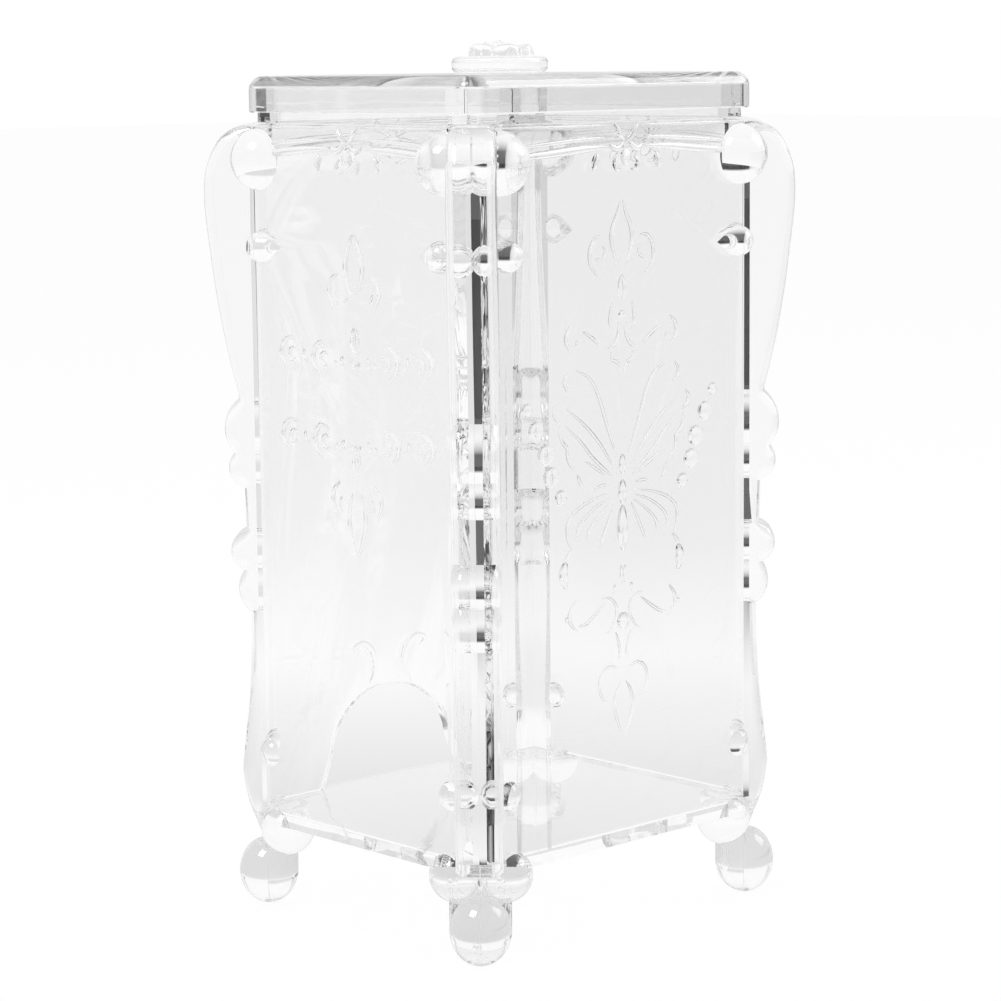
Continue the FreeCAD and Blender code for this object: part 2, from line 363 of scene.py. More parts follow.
def inset(edge, by):
    """Edge of a fin moved into the fin, less near the ankle, where the fin is narrow."""
    made = []
    for before, here, after in zip(edge[:1] + edge, edge, edge[1:] + edge[-1:]):
        along = Vector((after[0] - before[0], after[1] - before[1])).normalized()
        share = min(1.0, (here[0] - FOOT_SEAM) / (2 * FIN_EDGE_ROUND)) if here[1] < FLOOR_UNDERSIDE else 1.0
        made.append((here[0] + along.y * by * share, here[1] - along.x * by * share))
    return made


def fin_half(length, standoff):
    """Half a fin with its side edges rounded; between floor and seat it leaves the box corner free."""
    edge = fin_edge()
    rest = [(edge[-1][0], FOOT_CENTRE), (FOOT_SEAM, FOOT_CENTRE), (FOOT_SEAM, FLOOR_UNDERSIDE),
            (FIN_ROOT, FLOOR_UNDERSIDE), (FIN_ROOT, WALL_TOP)]
    rows = [(0.0, BOND / 2)]
    rows += [(FIN_EDGE_ROUND * (1 - math.cos(turn)), FIN_HALF - FIN_EDGE_ROUND * (1 - math.sin(turn)))
             for turn in quarter_turns(steps=7)]
    rings = [[(x, y, height) for x, y in inset(edge, by) + rest] for by, height in rows]
    fin = at_corner(moved(loft(rings), STAND_UP), length, standoff)
    inner = length / 2 - WALL
    return cut(fin, [block((-inner, WALL - standoff, WALL_BASE), (inner, FAR, WALL_TOP - SEAT_DEPTH))])


def foot_quarter(length, standoff):
    """Quarter of a ball foot, flattened where it stands."""
    egg = moved(ball(FOOT_RADIUS, (-FOOT_SETBACK, 0, 0)), Matrix.Diagonal((1, 1, FOOT_TALL, 1)))
    quarter = shared(moved(egg, Matrix.Translation((0, 0, FOOT_CENTRE))),
                     block((FOOT_SEAM, -FAR, 0), (FAR, -BOND / 2, FAR)))
    return at_corner(quarter, length, standoff)


def mould_reach(length, standoff, inward, high):
    """The space up to high that one wall moulding may fill, from its mitres to inward of its face."""
    mitre = BOND / math.sqrt(2)
    far = length / 2 + length - mitre
    near = length / 2 - inward - mitre
    inner = inward - standoff
    outer = -standoff - length
    return prism([(-far, outer), (far, outer), (near, inner), (-near, inner)], 0, high)


def teardrop(radius, tail, fine=10):
    """Drop with its ball on the origin and its tail along -X."""
    tip = radius + tail
    lean = math.acos(radius / tip)
    round_end = [(radius * math.sin(turn), radius * math.cos(turn))
                 for turn in (n * (math.pi - lean) / fine for n in range(fine + 1))]
    drop = lathe(round_end + [(0, -tip)], fine=48)
    return moved(drop, Matrix.Rotation(math.radians(90), 4, "Y"))


def floor_ball(length, standoff):
    """Ball where wall, fin and floor plate meet, notched for the plate."""
    along, inward, down = BOTTOM_DOME_SHIFT
    root = (length / 2 - CONCAVE - along, inward - standoff, FLOOR_UNDERSIDE - down)
    outside = shared(ball(BOTTOM_DOME_RADIUS, root, fine=64), mould_reach(length, standoff, WALL, WALL_TOP))
    below = mould_reach(length, standoff, BOTTOM_DOME_RADIUS + inward, FLOOR_UNDERSIDE - BOND)
    under = shared(ball(BOTTOM_DOME_RADIUS, root, fine=64), below)
    notch = plate_blank(length + 2 * BOND, 2 * (standoff + BOND), -FIN_ROOT, FLOOR_UNDERSIDE - BOND,
                        FLOOR_TOP + BOND)
    return cut(unite(outside, [under]), [notch])


def wall_trims(length, standoff):
    """Domes and drops in the angle between the wall and its right-hand fin."""
    root = Vector((length / 2 - CONCAVE, -standoff, 0))
    dome_place = root + Vector((-TOP_DOME_SHIFT, TOP_DOME_SHIFT, WALL_TOP - TOP_DOME_DROP))
    upper_place = root + Vector((-UPPER_DROP_SHIFT, 0, WALL_TOP - UPPER_DROP_BELOW_TOP))
    lower_place = root + Vector((-LOWER_DROP_SHIFT, LOWER_DROP_SHIFT, FLOOR_TOP + LOWER_DROP_ABOVE_FLOOR))
    dome = ball(TOP_DOME_RADIUS, dome_place)
    upper = moved(teardrop(UPPER_DROP_RADIUS, UPPER_DROP_TAIL), Matrix.Translation(upper_place))
    lower = ball(LOWER_DROP_RADIUS, lower_place, fine=48)
    trims = unite(dome, [upper, lower])
    return shared(trims, mould_reach(length, standoff, WALL, WALL_TOP))


def arch_outline(grow):
    """Half (x, height above the floor plate) outline of the arch, from its right foot to its left foot."""
    spring = (ARCH_HALF_WIDTH + grow, ARCH_SPRING)
    foot = (ARCH_FOOT_HALF_WIDTH + grow, -ARCH_SINK)
    flare = ((3 * ARCH_HALF_WIDTH + ARCH_FOOT_HALF_WIDTH) / 4 + grow, ARCH_SPRING / 2)
    side = arc(foot, flare, spring, steps=10)
    crown = arc(spring, (0, ARCH_SPRING + ARCH_RISE + grow), (-spring[0], spring[1]), steps=40)
    return side[:-1] + crown + [(-x, z) for x, z in reversed(side[:-1])]


def arch_cutter(standoff):
    """Solid that cuts the arch with its rims rounded on both faces of the wall."""
    r = ARCH_EDGE_ROUND
    rows = [(-ARCH_PAST, r)]
    rows += [(r * (1 - math.cos(turn)), r * (1 - math.sin(turn))) for turn in quarter_turns(steps=4)]
    rows += [(WALL - depth, grow) for depth, grow in reversed(rows)]
    return loft([[(x, depth - standoff, FLOOR_TOP + z) for x, z in arch_outline(grow)]
                 for depth, grow in rows])


def wall_solid(length, standoff):
    """A wall moulding that faces -Y: the wall, two half fins, its trims and its border."""
    outer = length / 2 - CONCAVE
    grip = outer + FIN_GRIP
    end = [(outer, -standoff), (grip, FIN_GRIP / 2 - standoff), (grip - WALL, WALL - standoff - FIN_GRIP / 2),
           (outer - WALL, WALL - standoff)]
    plan = end + [(-x, y) for x, y in reversed(end)]
    plate = prism(plan, WALL_BASE, WALL_TOP, WALL_RIM_ROUND)
    right = unite(fin_half(length, standoff), [foot_quarter(length, standoff)])
    right = unite(right, [floor_ball(length, standoff)])
    right = unite(right, [wall_trims(length, standoff)])
    left = mirrored(right)
    return unite(unite(plate, [right, left]), [border(outer, standoff)])


def plate_blank(length, depth, setback, low, high):
    """Floor plate blank, its corners cut square to the diagonals, setback from the corners."""
    x, y, chamfer = length / 2, depth / 2, setback * math.sqrt(2)
    corner = [(x, chamfer - y), (x, y - chamfer), (x - chamfer, y), (chamfer - x, y)]
    return prism(corner + [(-a, -b) for a, b in corner], low, high)


# ---- relief on the walls ----
# Points are (s, z) in millimetres: s from the middle of the wall, z above the ground.
STROKE_WIDTH = 0.85          # of a stroke whose share is 1
STROKE_HEIGHT = 0.3          # and how far it stands out where the relief's depth is 1
BEAD_RISE = 0.5              # height of a bead as a share of its radius
STROKE_ROOT = 0.2            # how deep a stroke is rooted in the wall
STROKE_END = 0.15            # steps along its curve by which a stroke falls short of a sharp point
BEAD_MOST = 0.6              # greatest height of a bead
# Depths of the relief on each wall, as shares of STROKE_HEIGHT
RELIEF_DEPTH = {"front_panel": 1.3, "left_panel": 1.7, "back_panel": 0.15, "right_panel": 0.15}
HORN_DEPTH = 0.9             # the same for the horns over the arch
BACK_BUTTERFLY_UP = 4.0      # how much higher the butterfly stands over the arch
RELIEF_MARGIN = 0.5          # relief keeps this far from the fins and the wall top
ON_FACE = 0.001              # how near a point lies to a face that it is on

# One half of each design; the other half is its mirror image. A stroke is (its width as a share
# of STROKE_WIDTH, points), a bead is (s, z, radius).
BUTTERFLY = (
    (0.9, ((1.4, 90.6), (3.1, 94.2), (4.9, 98.8), (6.6, 103.0), (8.8, 105.9), (12.0, 107.5))),
    (0.9, ((14.2, 107.3), (15.1, 105.8), (14.6, 104.3), (13.5, 103.4))),
    (0.8, ((2.2, 88.4), (4.4, 91.4), (7.2, 94.7), (10.8, 97.9), (14.8, 100.7))),
    (0.9, ((17.1, 101.7), (17.9, 100.4), (17.4, 99.0), (16.2, 98.0))),
    (0.8, ((2.4, 86.9), (4.6, 88.4), (7.9, 91.0), (11.4, 94.6), (14.9, 97.4))),
    (0.7, ((4.2, 87.1), (7.2, 89.0), (9.8, 90.4))),
    (0.9, ((16.4, 97.6), (16.4, 96.0), (15.6, 94.4), (14.5, 93.3), (14.4, 91.8), (13.8, 90.2), (12.2, 88.7))),
    (0.9, ((11.9, 88.2), (11.2, 86.6), (10.3, 85.4))),
    (0.7, ((3.4, 85.4), (5.6, 85.6), (7.6, 85.0))),
    (0.8, ((4.0, 83.9), (8.6, 83.0), (12.6, 81.4), (14.5, 79.4), (14.5, 76.4), (13.2, 73.8))),
    (0.8, ((3.2, 83.1), (7.4, 81.6), (10.8, 79.3), (12.0, 77.4), (11.7, 75.6))),
    (0.8, ((2.8, 82.2), (6.3, 80.0), (8.6, 77.9), (9.2, 76.2), (8.9, 74.8))),
    (0.8, ((2.2, 81.6), (3.8, 78.8), (5.5, 75.4), (6.4, 73.9))),
    (0.9, ((13.4, 74.6), (14.6, 73.2), (15.2, 71.8))),
    (2.3, ((15.0, 72.4), (15.6, 70.0), (15.0, 67.2))),
)
WING_BEADS = ((24.6, 101.2, 1.3), (22.4, 97.2, 1.9), (19.9, 92.6, 2.1), (18.6, 88.4, 2.0), (16.2, 84.4, 1.5))
# Head, chest and tail: (width in millimetres, upper end, lower end)
BUTTERFLY_BODY = ((1.5, (0, 91.0), (0, 87.0)), (1.9, (0, 86.2), (0, 81.4)), (2.4, (0, 81.4), (0, 72.6)))
TOP_FINIAL = (
    (1.1, ((0.2, 138.2), (1.1, 135.8), (2.3, 133.5), (2.7, 131.2), (2.1, 128.6), (1.0, 126.4))),
    (1.0, ((4.8, 131.7), (6.8, 131.5), (8.1, 129.9), (8.4, 127.8), (7.8, 126.0), (5.5, 123.8))),
    (0.7, ((5.0, 130.0), (4.4, 128.7), (5.2, 127.6), (7.0, 127.6))),
    (0.9, ((0.0, 124.6), (0.6, 122.4), (0.7, 119.8))),
    (0.8, ((2.6, 119.4), (3.1, 117.4), (3.2, 115.4), (2.4, 114.2))),
    (0.9, ((1.0, 115.8), (1.0, 113.6), (2.0, 111.7), (3.9, 110.7))),
    (0.8, ((10.3, 114.5), (7.9, 113.2), (5.5, 111.4))),
    (1.0, ((12.8, 116.2), (14.3, 114.6), (14.5, 112.7), (12.9, 110.4))),
    (0.7, ((11.9, 113.0), (11.7, 111.3))),
    (0.8, ((2.9, 110.2), (2.6, 108.8), (1.0, 108.0), (0.4, 106.0))),
)
TOP_BEADS = ((0.0, 117.0, 0.9),)
LOW_FINIAL = (
    (0.9, ((0.5, 70.0), (0.4, 68.2), (0.4, 66.6))),
    (0.7, ((2.2, 66.5), (2.4, 64.8))),
    (0.9, ((4.6, 63.4), (7.6, 61.4), (10.1, 60.0), (11.8, 59.8))),
    (1.0, ((12.4, 64.8), (13.9, 62.8), (14.0, 60.8), (12.0, 58.7))),
    (0.8, ((5.9, 64.2), (4.0, 64.2), (2.5, 63.3), (1.8, 61.9), (2.0, 60.1), (3.1, 58.4), (4.5, 57.4))),
    (0.8, ((2.0, 57.4), (1.4, 55.6), (0.9, 53.4), (1.3, 52.2))),
    (0.9, ((1.4, 50.5), (3.6, 51.0), (5.6, 50.0), (6.4, 47.8), (5.8, 45.5), (4.3, 44.3))),
    (1.0, ((0.6, 47.8), (2.0, 45.6), (2.4, 43.0), (1.6, 40.2), (0.3, 37.4))),
)
LOW_BEADS = ((0.0, 59.4, 1.7), (14.8, 61.4, 0.6))
ARCH_HORNS = (
    (1.4, ((5.6, 37.9), (4.0, 40.8), (3.6, 43.9), (4.6, 46.4), (6.6, 47.6), (8.6, 46.9), (7.4, 45.4))),
)
SCROLL_TOP = (
    (1.2, ((0.2, 132.4), (1.1, 130.6), (2.0, 128.4), (2.4, 125.9), (1.8, 123.2), (0.9, 120.8))),
    (1.1, ((4.2, 125.0), (6.0, 124.3), (6.9, 122.6), (6.9, 120.9), (5.2, 118.3))),
    (0.7, ((1.6, 120.6), (3.0, 119.9), (4.6, 120.4), (5.3, 121.6))),
    (1.0, ((0.2, 115.2), (0.7, 113.5), (0.6, 111.6), (-0.4, 109.6))),
)
SCROLL_ROW = (
    (1.2, ((16.4, 112.0), (18.9, 112.4), (20.9, 110.9), (21.2, 108.8), (19.2, 106.4))),
    (1.0, ((17.0, 110.5), (18.3, 110.4), (18.9, 109.3), (18.2, 108.2), (17.2, 108.7))),
    (0.8, ((14.6, 110.6), (14.7, 109.3), (13.6, 108.2))),
    (1.2, ((7.9, 111.6), (10.1, 112.0), (11.8, 110.1), (11.6, 107.9), (9.8, 105.8))),
    (1.0, ((7.6, 109.9), (8.9, 110.1), (9.6, 109.1), (9.0, 107.9), (7.8, 107.8))),
    (0.8, ((3.4, 109.8), (3.9, 108.8), (3.3, 107.8))),
    (0.8, ((1.4, 108.9), (0.2, 107.7), (-0.5, 107.0))),
)
SCROLL_BEADS = ((5.5, 108.4, 0.55),)
ROW_PITCH = 15.6
SCROLL_STEM = ((0.9, ((0.1, 93.2), (0.8, 90.2), (0.2, 87.8))),)
SCROLL_LOW = (
    (1.0, ((1.2, 84.2), (2.2, 80.8), (2.2, 77.8), (1.2, 74.8), (0.2, 72.4))),
    (1.0, ((4.8, 86.2), (6.6, 84.4), (6.8, 82.0), (5.4, 79.6))),
    (0.7, ((4.4, 83.4), (4.9, 81.6), (4.3, 80.4))),
)
# Bow, and the pendants beside it, under the top edge of every wall; here z is above the wall top
BOW = (
    (1.5, ((0.4, -3.6), (1.9, -2.0), (3.1, -0.5))),
    (1.5, ((0.6, -3.8), (2.6, -5.0), (4.4, -4.2))),
    (1.8, ((7.6, -5.6), (8.1, -7.2), (8.6, -8.9))),
    (1.3, ((2.0, -6.4), (3.0, -7.4), (2.6, -8.6), (1.2, -8.9))),
)
BOW_BEADS = ((0.0, -6.6, 1.5),)


def stroke(points, width, height, standoff, fine=8, sides=8):
    """Rounded relief line along a smooth curve on a wall that faces -Y, tapering to both ends."""
    bm = bmesh.new()
    track = spline(points, fine)
    last = len(track) - 1
    rings = []
    for number, (s, z) in enumerate(track):
        before, after = track[max(number - 1, 0)], track[min(number + 1, last)]
        along = Vector((after[0] - before[0], after[1] - before[1])).normalized()
        swell = math.sin(math.pi * (number + STROKE_END) / (last + 2 * STROKE_END)) ** 0.5
        half, rise = swell * width / 2, swell * height
        section = [(half, -STROKE_ROOT)]
        section += [(half * math.cos(turn), rise * math.sin(turn))
                    for turn in (math.pi * n / sides for n in range(sides + 1))]
        section += [(-half, -STROKE_ROOT)]
        rings.append([bm.verts.new((s - along.y * off, -standoff - out, z + along.x * off))
                      for off, out in section])
    count = len(rings[0])
    for low, high in zip(rings, rings[1:]):
        for n in range(count):
            bm.faces.new((low[n], low[(n + 1) % count], high[(n + 1) % count], high[n]))
    bm.faces.new(rings[0])
    bm.faces.new(rings[-1])
    return solid(bm)


def bead(s, z, radius, standoff, depth, fine=24, steps=5):
    """Low round bead on a wall that faces -Y; depth is a share of its full height."""
    height = min(depth, 1.0) * min(BEAD_RISE * radius, BEAD_MOST)
    dome = [(radius * math.sin(turn), height * math.cos(turn)) for turn in quarter_turns(steps)]
    profile = dome + [(radius, -STROKE_ROOT), (0, -STROKE_ROOT)]
    made = moved(lathe(profile, fine), Matrix.Rotation(math.radians(90), 4, "X"))
    return moved(made, Matrix.Translation((s, -standoff, z)))


def raised(points, by):
    """Points moved up by a height."""
    return tuple((s, z + by) for s, z in points)


def both_sides(design, beads=(), by=0.0):
    """The strokes and beads of a half design and of its mirror image, raised by a height."""
    strokes, round_ones = [], []
    for share, points in design:
        strokes += [(share, raised(points, by)), (share, raised([(-s, z) for s, z in points], by))]
    for s, z, radius in beads:
        round_ones += [(s, z + by, radius)] + ([(-s, z + by, radius)] if s else [])
    return strokes, round_ones


def relief(standoff, parts, depth):
    """All the strokes and beads of a wall as one solid; depth is a share of STROKE_HEIGHT."""
    made = []
    for strokes, beads in parts:
        made += [stroke(points, share * STROKE_WIDTH, share * depth * STROKE_HEIGHT, standoff)
                 for share, points in strokes]
        made += [bead(s, z, radius, standoff, depth) for s, z, radius in beads]
    return unite(made[0], made[1:])


def border(end, standoff):
    """Moulding under the wall's top edge: two swags from the fins to a bow, and two pendants."""
    swags = ((2.0, ((5.0, -4.6), (12.0, -4.9), (20.0, -5.5), (end + 1, -6.4))),
             (1.0, ((5.4, -2.9), (12.0, -3.2), (20.0, -3.7), (end, -4.6))),
             (0.8, ((4.6, -0.7), (16.0, -0.8), (end, -0.7))))
    strokes, beads = both_sides(swags + BOW, BOW_BEADS, WALL_TOP)
    return relief(standoff, [(strokes, beads)], BORDER_RELIEF / STROKE_HEIGHT)


def on_inner_face(piece):
    """Turns a relief that was made towards -Y the other way."""
    return moved(piece, Matrix.Scale(-1, 4, (0, 1, 0)))


def butterfly_relief(standoff, by, with_low, depth):
    """Butterfly between two finials; the arch wall has horns in place of the lower ones."""
    body = [(width / STROKE_WIDTH, ((s0, z0 + by), (s0, (z0 + z1) / 2 + by), (s1, z1 + by)))
            for width, (s0, z0), (s1, z1) in BUTTERFLY_BODY]
    parts = [both_sides(BUTTERFLY, WING_BEADS, by), (body, []), both_sides(TOP_FINIAL, TOP_BEADS)]
    low = both_sides(LOW_FINIAL, LOW_BEADS) if with_low else both_sides(ARCH_HORNS)
    lower = relief(WALL - standoff, [low], depth if with_low else HORN_DEPTH)
    return on_inner_face(unite(relief(WALL - standoff, parts, depth), [lower]))


def scroll_relief(standoff, depth):
    """Two rows of scrolls between an upright and a hanging finial."""
    parts = [both_sides(SCROLL_TOP), both_sides(SCROLL_ROW, SCROLL_BEADS), both_sides(SCROLL_STEM),
             both_sides(SCROLL_ROW, SCROLL_BEADS, -ROW_PITCH), both_sides(SCROLL_LOW)]
    return on_inner_face(relief(WALL - standoff, parts, depth))


# ---- floor plate, foot posts, lid and knob ----
def floor_solid():
    """Floor plate, its corners cut off where the fins begin."""
    return plate_blank(BODY_WIDTH, BODY_DEPTH, BOND - FIN_ROOT, FLOOR_UNDERSIDE, FLOOR_TOP)


def foot_core(right, back):
    """Inner half of a foot: a round post under the floor plate that ends in a half ball."""
    top = FLOOR_UNDERSIDE - BOND
    profile = [(FOOT_RADIUS * math.sin(turn), FOOT_CENTRE - FOOT_TALL * FOOT_RADIUS * math.cos(turn))
               for turn in quarter_turns(steps=14)]
    post = lathe(profile + [(FOOT_RADIUS, top), (0, top)], fine=72)
    post = moved(post, Matrix.Translation((-FOOT_SETBACK, 0, 0)))
    post = shared(post, block((-FAR, -FAR, 0), (FOOT_SEAM - BOND, FAR, FAR)))
    along, inward, down = BOTTOM_DOME_SHIFT
    setback, side = (along + inward) / math.sqrt(2), (along - inward) / math.sqrt(2)
    places = [(-FIN_HALF - setback, way * (FIN_HALF + side), FLOOR_UNDERSIDE - down) for way in (-1, 1)]
    post = cut(post, [ball(BOTTOM_DOME_RADIUS + BOND, place, fine=64) for place in places])
    turn = Matrix.Rotation(math.atan2(back, right), 4, "Z")
    return moved(post, Matrix.Translation((right * BODY_WIDTH / 2, back * BODY_DEPTH / 2, 0)) @ turn)


def round_corners(length, depth, radius, z, steps=10):
    """Closed ring of points: a rectangle about the Z axis with round corners."""
    ring = []
    for quarter, (right, back) in enumerate(((1, 1), (-1, 1), (-1, -1), (1, -1))):
        for step in range(steps + 1):
            turn = math.radians(90) * (quarter + step / steps)
            ring.append((right * (length / 2 - radius) + radius * math.cos(turn),
                         back * (depth / 2 - radius) + radius * math.sin(turn), z))
    return ring


def lid_solid():
    """Lid cap: a plate with a round-edged skirt, hollow underneath."""
    length, depth = lid_high.x - lid_low.x, lid_high.y - lid_low.y
    rim = LID_RIM_ROUND

    def ring(inwards, z):
        return round_corners(length - 2 * inwards, depth - 2 * inwards, LID_CORNER - inwards, z)

    ceiling = LID_TOP - LID_PLATE
    rows = [ring(LID_SKIRT + rim, ceiling), ring(LID_SKIRT, ceiling - rim), ring(LID_SKIRT, LID_BASE + rim),
            ring(LID_SKIRT - rim, LID_BASE), ring(rim, LID_BASE), ring(0, LID_BASE + rim)]
    r = LID_EDGE_ROUND
    rows += [ring(r * (1 - math.cos(turn)), LID_TOP - r * (1 - math.sin(turn)))
             for turn in quarter_turns(steps=8)]
    return loft(rows)


def knob_disc_solid():
    """Round knob plate, its rims rounded."""
    r = KNOB_EDGE_ROUND
    turns = quarter_turns(steps=6)
    low = [(KNOB_RADIUS - r + r * math.sin(turn), KNOB_BASE + r - r * math.cos(turn)) for turn in turns]
    high = [(KNOB_RADIUS - r + r * math.cos(turn), KNOB_TOP - r + r * math.sin(turn)) for turn in turns]
    return lathe([(0, KNOB_BASE)] + low + high + [(0, KNOB_TOP)])


ROSE_REACH = 6.6
# Rings of petals: (how many, turn of the first in radians, place, reach, share of the rose's height)
PETAL_RINGS = ((5, -0.75, 3.5, 3.1, 0.84),
               (3, -0.4, 1.7, 2.3, 1.0))
PETAL_LEAN = 0.22            # share of its height that a petal gains from its middle to its lip
BUD_RADIUS = 1.2
BUD_SHARE = 0.9              # height of the bud as a share of the rose's height
ROSE_EDGE = 0.02             # thickness of the rose between and outside its petals


def petal_height(x, y, turn, place, reach, peak):
    """Height of one petal: a shell that rises outwards from the bud and rounds over at its lip."""
    cx, cy = place * math.cos(turn), place * math.sin(turn)
    away = math.hypot(x - cx, y - cy) / reach
    if away >= 1:
        return 0.0
    outwards = ((x - cx) * math.cos(turn) + (y - cy) * math.sin(turn)) / reach
    return peak * (1 - away ** 4) ** 0.5 * (1 - PETAL_LEAN + PETAL_LEAN * outwards)


def rose_solid(rings=44, spokes=144):
    """Rose in relief: five outer petals, three inner ones and a bud, on a flat back."""
    tall = ROSE_TOP - ROSE_BASE

    def height(x, y):
        found = [petal_height(x, y, 2 * math.pi * n / count + first, place, reach, share * tall)
                 for count, first, place, reach, share in PETAL_RINGS for n in range(count)]
        bud = 1 - (math.hypot(x, y) / BUD_RADIUS) ** 2
        found.append(BUD_SHARE * tall * max(bud, 0) ** 0.5)
        return max(found)

    bm = bmesh.new()
    top, base = bm.verts.new((0, 0, ROSE_BASE + height(0, 0))), bm.verts.new((0, 0, ROSE_BASE))
    rows = []
    for ring in range(1, rings + 1):
        reach = ROSE_REACH * ring / rings
        row = []
        for n in range(spokes):
            x, y = reach * math.cos(2 * math.pi * n / spokes), reach * math.sin(2 * math.pi * n / spokes)
            row.append(bm.verts.new((x, y, ROSE_BASE + max(height(x, y), ROSE_EDGE))))
        rows.append(row)
    rim = [bm.verts.new((v.co.x, v.co.y, ROSE_BASE)) for v in rows[-1]]
    rows.append(rim)
    for n in range(spokes):
        bm.faces.new((top, rows[0][n], rows[0][(n + 1) % spokes]))
        bm.faces.new((base, rim[(n + 1) % spokes], rim[n]))
    for low, high in zip(rows, rows[1:]):
        for n in range(spokes):
            bm.faces.new((low[n], high[n], high[(n + 1) % spokes], low[(n + 1) % spokes]))
    return solid(bm)


# ---- materials ----
def linear(hex_colour):
    """sRGB hex as the linear colour that the shaders work in."""
    def channel(value):
        return value / 12.92 if value <= 0.04045 else ((value + 0.055) / 1.055) ** 2.4

    return tuple(channel(int(hex_colour[n:n + 2], 16) / 255) for n in (1, 3, 5)) + (1.0,)


def add_node(material, kind, settings=None, links=None):
    """Adds a node, sets its properties and inputs, and links its inputs to other nodes' outputs."""
    node = material.node_tree.nodes.new(kind)
    for key, value in (settings or {}).items():
        if isinstance(key, str) and hasattr(node, key):
            setattr(node, key, value)
        else:
            node.inputs[key].default_value = value
    for key, output in (links or {}).items():
        material.node_tree.links.new(output, node.inputs[key])
    return node


POLYSTYRENE_IOR = 1.59
SHADOW_CLEAR = 0.9           # light that passes each face on its way to the table
WAVE_HEIGHT = 0.05           # millimetres, of the waviness before its strength


def clear_polystyrene(name, tint, wave_mm, wave_strength):
    """General-purpose polystyrene, injection moulded in a polished steel tool: water clear and glossy,
    with a high index (1.59) that makes its rounded edges read dark. The melt freezes a little
    unevenly, which leaves a very shallow waviness in the flat faces."""
    material = bpy.data.materials.new(name)
    material.use_nodes = True
    material.node_tree.nodes.clear()
    place = add_node(material, "ShaderNodeTexCoord")
    waves = add_node(material, "ShaderNodeTexNoise",
                     {"Scale": 1 / (wave_mm * MM), "Detail": 2.0, "Roughness": 0.5},
                     {"Vector": place.outputs["Object"]})
    bump = add_node(material, "ShaderNodeBump", {"Strength": wave_strength, "Distance": WAVE_HEIGHT * MM},
                    {"Height": waves.outputs["Fac"]})
    plastic = add_node(material, "ShaderNodeBsdfPrincipled",
                       {"Base Color": linear(tint), "Roughness": 0.0, "IOR": POLYSTYRENE_IOR,
                        "Transmission Weight": 1.0},
                       {"Normal": bump.outputs["Normal"]})
    shade = add_node(material, "ShaderNodeBsdfTransparent", {"Color": (SHADOW_CLEAR,) * 3 + (1.0,)})
    path = add_node(material, "ShaderNodeLightPath")
    mixed = add_node(material, "ShaderNodeMixShader")
    material.node_tree.links.new(path.outputs["Is Shadow Ray"], mixed.inputs[0])
    material.node_tree.links.new(plastic.outputs[0], mixed.inputs[1])
    material.node_tree.links.new(shade.outputs[0], mixed.inputs[2])
    add_node(material, "ShaderNodeOutputMaterial", links={"Surface": mixed.outputs[0]})
    return material


# ---- the holder ----
wall_plastic = clear_polystyrene("polystyrene_clear_wall", "#FEFEFE", wave_mm=14, wave_strength=0.12)
floor_plastic = clear_polystyrene("polystyrene_clear_floor", "#FEFEFE", wave_mm=12, wave_strength=0.12)
lid_plastic = clear_polystyrene("polystyrene_clear_lid", "#FEFEFE", wave_mm=9, wave_strength=0.3)


def turned(piece, degrees):
    """Turns a solid about the holder's upright axis."""
    return moved(piece, Matrix.Rotation(math.radians(degrees), 4, "Z"))


def mark_relief(wall, length, standoff):
    """Groups the points of the relief, whose fine faces are shaded evenly and not by their size."""
    inner = length / 2 - CONCAVE - RELIEF_MARGIN
    points = [v.index for v in wall.data.vertices
              if abs(v.co.x) < inner and v.co.z < WALL_TOP - RELIEF_MARGIN
              and (v.co.y < ON_FACE - standoff or v.co.y > WALL - standoff - ON_FACE)]
    wall.vertex_groups.new(name=RELIEF_GROUP).add(points, 1.0, "ADD")


def make_walls():
    """The four wall mouldings, each made facing -Y and then turned to its side."""
    wide = wall_solid(BODY_WIDTH, BODY_DEPTH / 2)
    deep = wall_solid(BODY_DEPTH, BODY_WIDTH / 2)
    shapes = {"front_panel": wide, "back_panel": cut(copied(wide), [arch_cutter(BODY_DEPTH / 2)]),
              "left_panel": deep, "right_panel": copied(deep)}
    depth = RELIEF_DEPTH
    designs = {"front_panel": butterfly_relief(BODY_DEPTH / 2, 0.0, True, depth["front_panel"]),
               "back_panel": butterfly_relief(BODY_DEPTH / 2, BACK_BUTTERFLY_UP, False, depth["back_panel"]),
               "left_panel": scroll_relief(BODY_WIDTH / 2, depth["left_panel"]),
               "right_panel": scroll_relief(BODY_WIDTH / 2, depth["right_panel"])}
    for node, degrees in WALLS.items():
        length, across = (BODY_WIDTH, BODY_DEPTH) if degrees % 180 == 0 else (BODY_DEPTH, BODY_WIDTH)
        wall = unite(shapes[node], [designs[node]])
        mark_relief(wall, length, across / 2)
        finish_piece(turned(wall, degrees), node.replace("panel", "wall"), "holder",
                     wall_plastic, [node])


def make_base():
    """Floor plate and the inner halves of the feet."""
    finish_piece(floor_solid(), "floor", "holder", floor_plastic, ["floor_plate"])
    for name, (right, back) in CORNERS.items():
        finish_piece(foot_core(right, back), "foot_post_" + name, "holder",
                     floor_plastic, ["foot_core_" + name])


def make_lid():
    """Lid cap, knob and rose; the plug ring keeps its CAD shape."""
    finish_piece(lid_solid(), "lid", "lid", lid_plastic, ["lid_cap"])
    finish_piece(knob_disc_solid(), "knob_plate", "lid", lid_plastic, ["knob_disc"])
    finish_piece(rose_solid(), "rose", "lid", lid_plastic, ["knob_rose"],
                 ROSE_SMOOTH_ANGLE)
    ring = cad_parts["plug_ring"]
    ring.data.materials.clear()
    ring.data.materials.append(lid_plastic)


make_walls()
make_base()
make_lid()


